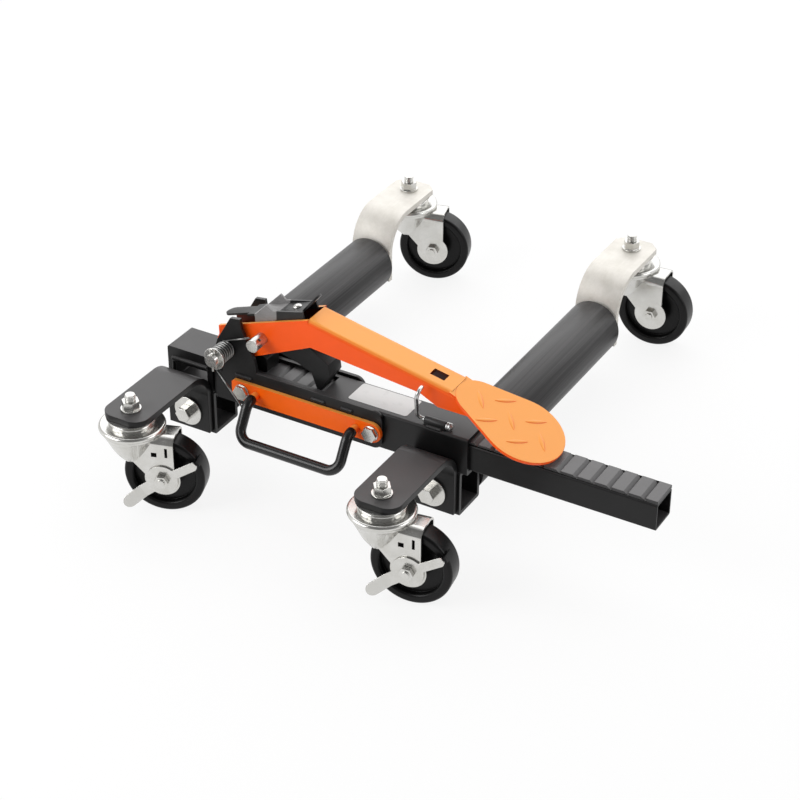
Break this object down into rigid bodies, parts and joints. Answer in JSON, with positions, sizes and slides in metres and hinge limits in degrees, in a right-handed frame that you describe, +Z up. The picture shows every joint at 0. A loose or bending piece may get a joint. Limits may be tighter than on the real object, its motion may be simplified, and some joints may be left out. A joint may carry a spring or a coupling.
{
  "type": "wheel dolly",
  "caption": "Vehicle wheel dolly: a pedal ratchet draws two long rollers together under a tyre to lift it, on a telescoping tube frame with swivel casters and a carry handle.",
  "frame": {"origin": "on the floor, midway between the two rollers and midway along them, so at the middle of the tyre bay", "axes": "+Z up, +Y along the rollers away from the tube with the pedal, +X along the tube towards its free toothed end"},
  "size_m": [0.6635, 0.743, 0.2655],
  "materials": {
    "black_paint": "satin black powder coat",
    "roller_paint": "satin black with a fine lengthwise grain",
    "orange_paint": "gloss orange powder coat",
    "zinc": "bright zinc plate",
    "steel": "plain steel",
    "grey_paint": "dark grey paint, semi-gloss",
    "vinyl": "dipped vinyl, soft gloss",
    "wheel_black": "hard black polyurethane"
  },
  "bodies": {
    "frame": {"outer_tube": "black_paint", "side_plate_near": "black_paint", "side_plate_far": "black_paint", "handle_strip": "orange_paint", "carry_handle": "orange_paint", "handle_grip": "vinyl", "handle_bolts": "zinc", "arm_box_right": "black_paint", "front_plate_right": "black_paint", "arm_bolt_right": "zinc", "arm_washer_right": "zinc", "shaft_right": "steel", "rear_plate_right": "zinc", "stem_front_right": "zinc", "stem_rear_right": "zinc", "stem_nuts_right": "zinc", "hook_sleeve": "black_paint", "pedal_pin": "zinc", "pin_washer": "zinc", "cotter_pin": "zinc", "return_spring": "steel"},
    "slider": {"ratchet_tube": "black_paint", "rack_plate": "black_paint", "cross_tube": "black_paint", "arm_box_left": "black_paint", "front_plate_left": "black_paint", "arm_bolt_left": "zinc", "arm_washer_left": "zinc", "shaft_left": "steel", "rear_plate_left": "zinc", "stem_front_left": "zinc", "stem_rear_left": "zinc", "stem_nuts_left": "zinc"},
    "pedal": {"pedal_lever": "orange_paint", "foot_plate": "orange_paint", "pawl_pin": "zinc"},
    "drive_pawl": {"drive_pawl": "black_paint"},
    "holding_pawl": {"holding_pawl": "grey_paint"},
    "release_lever": {"release_lever": "grey_paint"},
    "lock_hook": {"lock_hook": "zinc"},
    "roller_right": {"roller_right": "roller_paint", "roller_bushes_right": "steel"},
    "roller_left": {"roller_left": "roller_paint", "roller_bushes_left": "steel"},
    "caster_front_left": {"fork_front_left": "zinc", "axle_front_left": "zinc"},
    "wheel_front_left": {"wheel_front_left": "wheel_black"},
    "brake_left": {"brake_lever_left": "zinc", "brake_shoe_left": "zinc"},
    "caster_front_right": {"fork_front_right": "zinc", "axle_front_right": "zinc"},
    "wheel_front_right": {"wheel_front_right": "wheel_black"},
    "brake_right": {"brake_lever_right": "zinc", "brake_shoe_right": "zinc"},
    "caster_rear_left": {"fork_rear_left": "zinc", "axle_rear_left": "zinc"},
    "wheel_rear_left": {"wheel_rear_left": "wheel_black"},
    "caster_rear_right": {"fork_rear_right": "zinc", "axle_rear_right": "zinc"},
    "wheel_rear_right": {"wheel_rear_right": "wheel_black"}
  },
  "joints": [
    {"name": "slide", "type": "slide", "parent": "frame", "child": "slider", "axis": [-1, 0, 0], "range_m": [0, 0.28]},
    {"name": "pedal_stroke", "type": "hinge", "parent": "frame", "child": "pedal", "pos_m": [-0.1125, -0.217, 0.173], "axis": [0, -1, 0], "range_deg": [0, 26], "deforming": ["return_spring"]},
    {"name": "drive_pawl_swing", "type": "hinge", "parent": "pedal", "child": "drive_pawl", "pos_m": [-0.0675, -0.217, 0.196], "axis": [0, -1, 0], "range_deg": [-40, 0]},
    {"name": "release_press", "type": "hinge", "parent": "pedal", "child": "release_lever", "pos_m": [-0.0675, -0.217, 0.196], "axis": [0, -1, 0], "range_deg": [0, 12]},
    {"name": "holding_pawl_lift", "type": "hinge", "parent": "frame", "child": "holding_pawl", "pos_m": [-0.1125, -0.217, 0.173], "axis": [0, -1, 0], "range_deg": [0, 18]},
    {"name": "hook_swing", "type": "hinge", "parent": "frame", "child": "lock_hook", "pos_m": [0.1725, -0.234, 0.1521], "axis": [1, 0, 0], "range_deg": [0, 60]},
    {"name": "roller_right_spin", "type": "hinge", "parent": "frame", "child": "roller_right", "pos_m": [0.1725, 0, 0.067], "axis": [0, 1, 0], "continuous": true},
    {"name": "roller_left_spin", "type": "hinge", "parent": "slider", "child": "roller_left", "pos_m": [-0.1725, 0, 0.067], "axis": [0, 1, 0], "continuous": true},
    {"name": "swivel_front_left", "type": "hinge", "parent": "slider", "child": "caster_front_left", "pos_m": [-0.1725, -0.364, 0.118], "axis": [0, 0, 1], "continuous": true},
    {"name": "roll_front_left", "type": "hinge", "parent": "caster_front_left", "child": "wheel_front_left", "pos_m": [-0.13468, -0.35098, 0.05], "axis": [-0.3256, 0.9455, 0], "continuous": true},
    {"name": "brake_left_press", "type": "hinge", "parent": "caster_front_left", "child": "brake_left", "pos_m": [-0.13468, -0.35098, 0.05], "axis": [-0.3256, 0.9455, 0], "range_deg": [0, 12]},
    {"name": "swivel_front_right", "type": "hinge", "parent": "frame", "child": "caster_front_right", "pos_m": [0.1725, -0.364, 0.118], "axis": [0, 0, 1], "continuous": true},
    {"name": "roll_front_right", "type": "hinge", "parent": "caster_front_right", "child": "wheel_front_right", "pos_m": [0.21211, -0.35843, 0.05], "axis": [-0.1392, 0.9903, 0], "continuous": true},
    {"name": "brake_right_press", "type": "hinge", "parent": "caster_front_right", "child": "brake_right", "pos_m": [0.21211, -0.35843, 0.05], "axis": [-0.1392, 0.9903, 0], "range_deg": [0, 12]},
    {"name": "swivel_rear_left", "type": "hinge", "parent": "slider", "child": "caster_rear_left", "pos_m": [-0.1725, 0.298, 0.118], "axis": [0, 0, 1], "continuous": true},
    {"name": "roll_rear_left", "type": "hinge", "parent": "caster_rear_left", "child": "wheel_rear_left", "pos_m": [-0.13405, 0.30903, 0.05], "axis": [-0.2756, 0.9613, 0], "continuous": true},
    {"name": "swivel_rear_right", "type": "hinge", "parent": "frame", "child": "caster_rear_right", "pos_m": [0.1725, 0.298, 0.118], "axis": [0, 0, 1], "continuous": true},
    {"name": "roll_rear_right", "type": "hinge", "parent": "caster_rear_right", "child": "wheel_rear_right", "pos_m": [0.2124, 0.30079, 0.05], "axis": [-0.0698, 0.9976, 0], "continuous": true}
  ],
  "couplings": [
    {"joint": "drive_pawl_swing", "follows": "pedal_stroke", "ratio": -1.5},
    {"joint": "holding_pawl_lift", "follows": "release_press", "ratio": 1.5}
  ]
}
